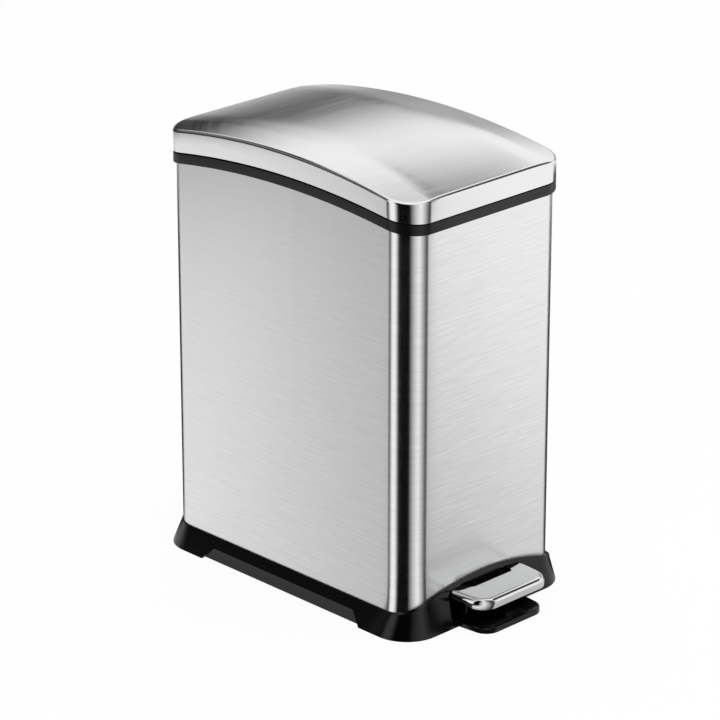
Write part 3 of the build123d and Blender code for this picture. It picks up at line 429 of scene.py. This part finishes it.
# cloths seen only by reflections: degrees about the near corner, or metres up, each with its brightness;
# in sides it is the share of the side walls' own grade, lean is in degrees for each metre up, and the floor carries a
# painted shadow that darkens it towards the corner
tent = {"centre": (-0.070, -0.11025), "radius": 1.3, "height": 2.4, "cuts": 96, "lift": 0.0003, "wallFoot": 0.002,
        "strips": [(-180, 1.0), (-10, 1.0), (-6, 0.3), (-2, 0.01), (26, 0.01), (30, 0.9), (58, 0.9), (62, 0.01),
                   (90, 0.01), (96, 1.0), (180, 1.0)],
        "shadowReach": (0.1, 0.95), "shadowTone": 0.66,
        "leftSpan": (-0.024, 0.226), "leftSweep": (0.6, 0.88),
        "rightSpan": (-0.024, 0.12), "rightSweep": (0.82, 1.0),
        "sides": [(-180, 0.0), (-64, 0.0), (-58, 1.0), (-10, 1.0), (-4, 0.0), (72, 0.0), (78, 1.0), (150, 1.0),
                  (156, 0.0), (180, 0.0)],
        "leftRise": [(0.0, 1.0), (0.03, 1.0), (0.08, 0.02), (0.45, 0.02), (0.8, 0.12), (1.2, 0.22), (1.4, 0.1),
                     (1.5, 0.02), (1.9, 0.02), (2.0, 1.0)],
        "rightRise": [(0.0, 1.0), (0.72, 1.0), (0.76, 0.08), (1.25, 0.08), (1.35, 0.02), (1.65, 0.02), (1.72, 1.0)],
        "topRise": [(0.0, 1.0), (0.33, 0.8), (0.39, 0.42), (0.46, 0.25), (0.54, 0.1), (0.6, 0.1), (0.66, 0.21),
                    (0.74, 0.46), (0.82, 0.73), (0.9, 0.92), (1.0, 1.0), (1.08, 0.9), (1.16, 0.74), (1.24, 0.46),
                    (1.3, 0.25), (1.5, 0.25), (1.9, 0.6)],
        "nearRise": [(0.0, 0.9), (0.45, 0.3), (0.56, 0.01), (0.68, 0.02), (0.74, 0.13), (0.8, 0.36), (0.88, 0.56),
                     (1.0, 0.84), (1.1, 1.0), (1.4, 1.0), (1.48, 0.9), (1.58, 0.72), (1.8, 0.7)],
        "farRise": [(0.0, 1.0), (0.25, 0.9), (0.33, 0.5), (0.42, 0.3), (0.48, 0.3), (0.56, 0.46), (0.64, 0.4),
                    (0.7, 0.42), (0.75, 0.6), (0.8, 0.95), (0.86, 1.0)],
        "lean": 26, "farSeam": (59, 62), "nearSeam": (73, 77), "plain": 0.9}


# a cloth's material so far: its place and its turn about the near corner, 0 to 1 from the start angle on
def clothMaterial(name, start):
    material = bpy.data.materials.new(name)
    material.use_nodes = True
    tree = material.node_tree
    tree.nodes.clear()
    place = addNode(tree, "ShaderNodeTexCoord")
    corner = addNode(tree, "ShaderNodeMapping", {"Vector": place.outputs["Object"]},
                     Location=(-tent["centre"][0], -tent["centre"][1], 0))
    swung = addNode(tree, "ShaderNodeMapping", {"Vector": corner.outputs[0]},
                    Rotation=(0, 0, math.radians(-start - 180)))
    apart = addNode(tree, "ShaderNodeSeparateXYZ", {0: swung.outputs[0]})
    turn = addNode(tree, "ShaderNodeMath", {0: apart.outputs["Y"], 1: apart.outputs["X"]}, operation="ARCTAN2")
    share = addNode(tree, "ShaderNodeMapRange", {"Value": turn.outputs[0]}, From_Min=-math.pi, From_Max=math.pi)
    return material, tree, corner.outputs[0], share.outputs[0]


def hangCloth(name, bm, material):
    bmesh.ops.translate(bm, vec=(*tent["centre"], tent["lift"]), verts=bm.verts)
    cloth = meshPiece(bm, name, material)
    cloth.visible_camera = cloth.visible_diffuse = cloth.visible_shadow = cloth.visible_transmission = False


def turnShare(degrees):
    return (degrees + 180) / 360


# the tent's floor is bright, with a soft sweep across, a painted shadow that darkens it towards the near corner, and
# dark strips that draw the wrap's outer edges;
# in a Mix, 0 is the share and 2 and 3 are the two tones
material, tree, corner, turn = clothMaterial("light tent cloth", -180)
apart = addNode(tree, "ShaderNodeSeparateXYZ", {0: corner})
height = apart.outputs["Z"]
behind = addNode(tree, "ShaderNodeMath", {0: apart.outputs["Y"], 1: 0.0}, operation="GREATER_THAN").outputs[0]
out = addNode(tree, "ShaderNodeVectorMath", {0: corner}, operation="LENGTH").outputs["Value"]
across = addNode(tree, "ShaderNodeMath", {0: apart.outputs["X"], 1: apart.outputs["Y"]}, operation="ADD").outputs[0]
# painted shadow: the tent's floor dims to a darker tone close to the near corner, standing in for the bin's shade on
# the floor
floorShadow = addNode(tree, "ShaderNodeMapRange", {"Value": out}, From_Min=tent["shadowReach"][0],
                From_Max=tent["shadowReach"][1], To_Min=tent["shadowTone"], To_Max=1.0)
leftSweep, rightSweep = [addNode(tree, "ShaderNodeMapRange", {"Value": across}, From_Min=tent[span][0],
                                 From_Max=tent[span][1], To_Min=tent[tones][0], To_Max=tent[tones][1])
                         for span, tones in (("leftSpan", "leftSweep"), ("rightSpan", "rightSweep"))]
right = addNode(tree, "ShaderNodeMath", {0: floorShadow.outputs[0], 1: rightSweep.outputs[0]}, operation="MULTIPLY")
sweep = addNode(tree, "ShaderNodeMix", {0: behind, 2: right.outputs[0], 3: leftSweep.outputs[0]})
strips, sides = [addNode(tree, "ShaderNodeValToRGB", {"Fac": turn}, [(turnShare(d), tone) for d, tone in tent[key]])
                 for key in ("strips", "sides")]
ground = addNode(tree, "ShaderNodeMath", {0: strips.outputs[0], 1: sweep.outputs[0]}, operation="MULTIPLY")

# its wall is dark at the two sides; behind, the lid's top and its two flanks mirror three leaning bands
onWall = addNode(tree, "ShaderNodeMath", {0: height, 1: tent["wallFoot"]}, operation="GREATER_THAN").outputs[0]
part = addNode(tree, "ShaderNodeMath", {0: height, 1: tent["height"]}, operation="DIVIDE").outputs[0]
leftRise, rightRise, topRise, nearRise, farRise = [
    addNode(tree, "ShaderNodeValToRGB", {"Fac": part}, [(z / tent["height"], tone) for z, tone in tent[key]])
    for key in ("leftRise", "rightRise", "topRise", "nearRise", "farRise")]
lean = addNode(tree, "ShaderNodeMath", {0: height, 1: tent["lean"] / 360, 2: turn}, operation="MULTIPLY_ADD")
farShare, nearShare = [addNode(tree, "ShaderNodeMapRange", {"Value": lean.outputs[0]},
                               From_Min=turnShare(tent[key][0]), From_Max=turnShare(tent[key][1]))
                       for key in ("farSeam", "nearSeam")]
topBand = addNode(tree, "ShaderNodeMix", {0: farShare.outputs[0], 2: farRise.outputs[0], 3: topRise.outputs[0]})
bands = addNode(tree, "ShaderNodeMix", {0: nearShare.outputs[0], 2: topBand.outputs[0], 3: nearRise.outputs[0]})
plain = addNode(tree, "ShaderNodeMix", {0: behind, 2: tent["plain"], 3: bands.outputs[0]})
sideDark = addNode(tree, "ShaderNodeMix", {0: behind, 2: rightRise.outputs[0], 3: leftRise.outputs[0]})
wall = addNode(tree, "ShaderNodeMix", {0: sides.outputs[0], 2: plain.outputs[0], 3: sideDark.outputs[0]})
tone = addNode(tree, "ShaderNodeMix", {0: onWall, 2: ground.outputs[0], 3: wall.outputs[0]})
glow = addNode(tree, "ShaderNodeEmission", {"Color": tone.outputs[0]}, Strength=1.0)
addNode(tree, "ShaderNodeOutputMaterial", {"Surface": glow.outputs[0]})
bm = bmesh.new()
bmesh.ops.create_circle(bm, cap_ends=True, segments=tent["cuts"], radius=tent["radius"])
upper = bmesh.ops.extrude_edge_only(bm, edges=list(bm.edges))["geom"]
bmesh.ops.translate(bm, vec=(0, 0, tent["height"]), verts=[g for g in upper if isinstance(g, bmesh.types.BMVert)])
hangCloth("tent", bm, material)

# curved flags close to the near corner: its bright and dark upright stripes
flag = {"inner": 0.03, "radius": 0.12, "foot": 0.0004, "height": 0.5, "from": 147, "to": 307, "lead": 2, "cuts": 60,
        "round": [(147, 0.5), (149, 0.08), (155, 0.1), (164, 1.0), (177, 1.0), (190, 0.0), (229, 0.0), (236, 0.22),
                  (249, 0.62), (265, 0.95), (282, 0.45), (294, 0.06), (301, 0.08), (307, 0.8)]}
seam = flag["from"] - flag["lead"]
material, tree, corner, turn = clothMaterial("corner flag cloth", seam)
around = addNode(tree, "ShaderNodeValToRGB", {"Fac": turn}, [((d - seam) / 360, tone) for d, tone in flag["round"]])
glow = addNode(tree, "ShaderNodeEmission", {"Color": around.outputs[0]}, Strength=1.0)
addNode(tree, "ShaderNodeOutputMaterial", {"Surface": glow.outputs[0]})
bm = bmesh.new()
start = math.radians(flag["from"])
profile = ((flag["inner"], flag["foot"]), (flag["radius"], flag["foot"]), (flag["radius"], flag["height"]))
spoke = [bm.verts.new((r * math.cos(start), r * math.sin(start), z)) for r, z in profile]
rods = [bm.edges.new(spoke[:2]), bm.edges.new(spoke[1:])]
bmesh.ops.spin(bm, geom=spoke + rods, axis=(0, 0, 1), cent=(0, 0, 0), steps=flag["cuts"],
               angle=math.radians(flag["to"] - flag["from"]))
hangCloth("flags", bm, material)
print("studio cloth hung")

lamps = {"key": {"place": (1.6, -1.9, 1.8), "aim": (0, 0, 0.2), "wide": 1.4, "tall": 1.4, "power": 28},
         "fill": {"place": (-2.2, -0.6, 1.5), "aim": (0, 0, 0.2), "wide": 1.2, "tall": 1.6, "power": 8},
         "overhead": {"place": (0.2, 0.3, 2.4), "aim": (0, 0, 0.3), "wide": 1.8, "tall": 1.8, "power": 22}}
for name, lamp in lamps.items():
    light = bpy.data.lights.new(name, "AREA")
    light.shape, light.size, light.size_y, light.energy = "RECTANGLE", lamp["wide"], lamp["tall"], lamp["power"]
    softBox = bpy.data.objects.new(name, light)
    softBox.location = lamp["place"]
    softBox.rotation_euler = (Vector(lamp["place"]) - Vector(lamp["aim"])).to_track_quat("Z", "Y").to_euler()
    softBox.visible_glossy = False
    bpy.context.scene.collection.objects.link(softBox)
print("lamps set")
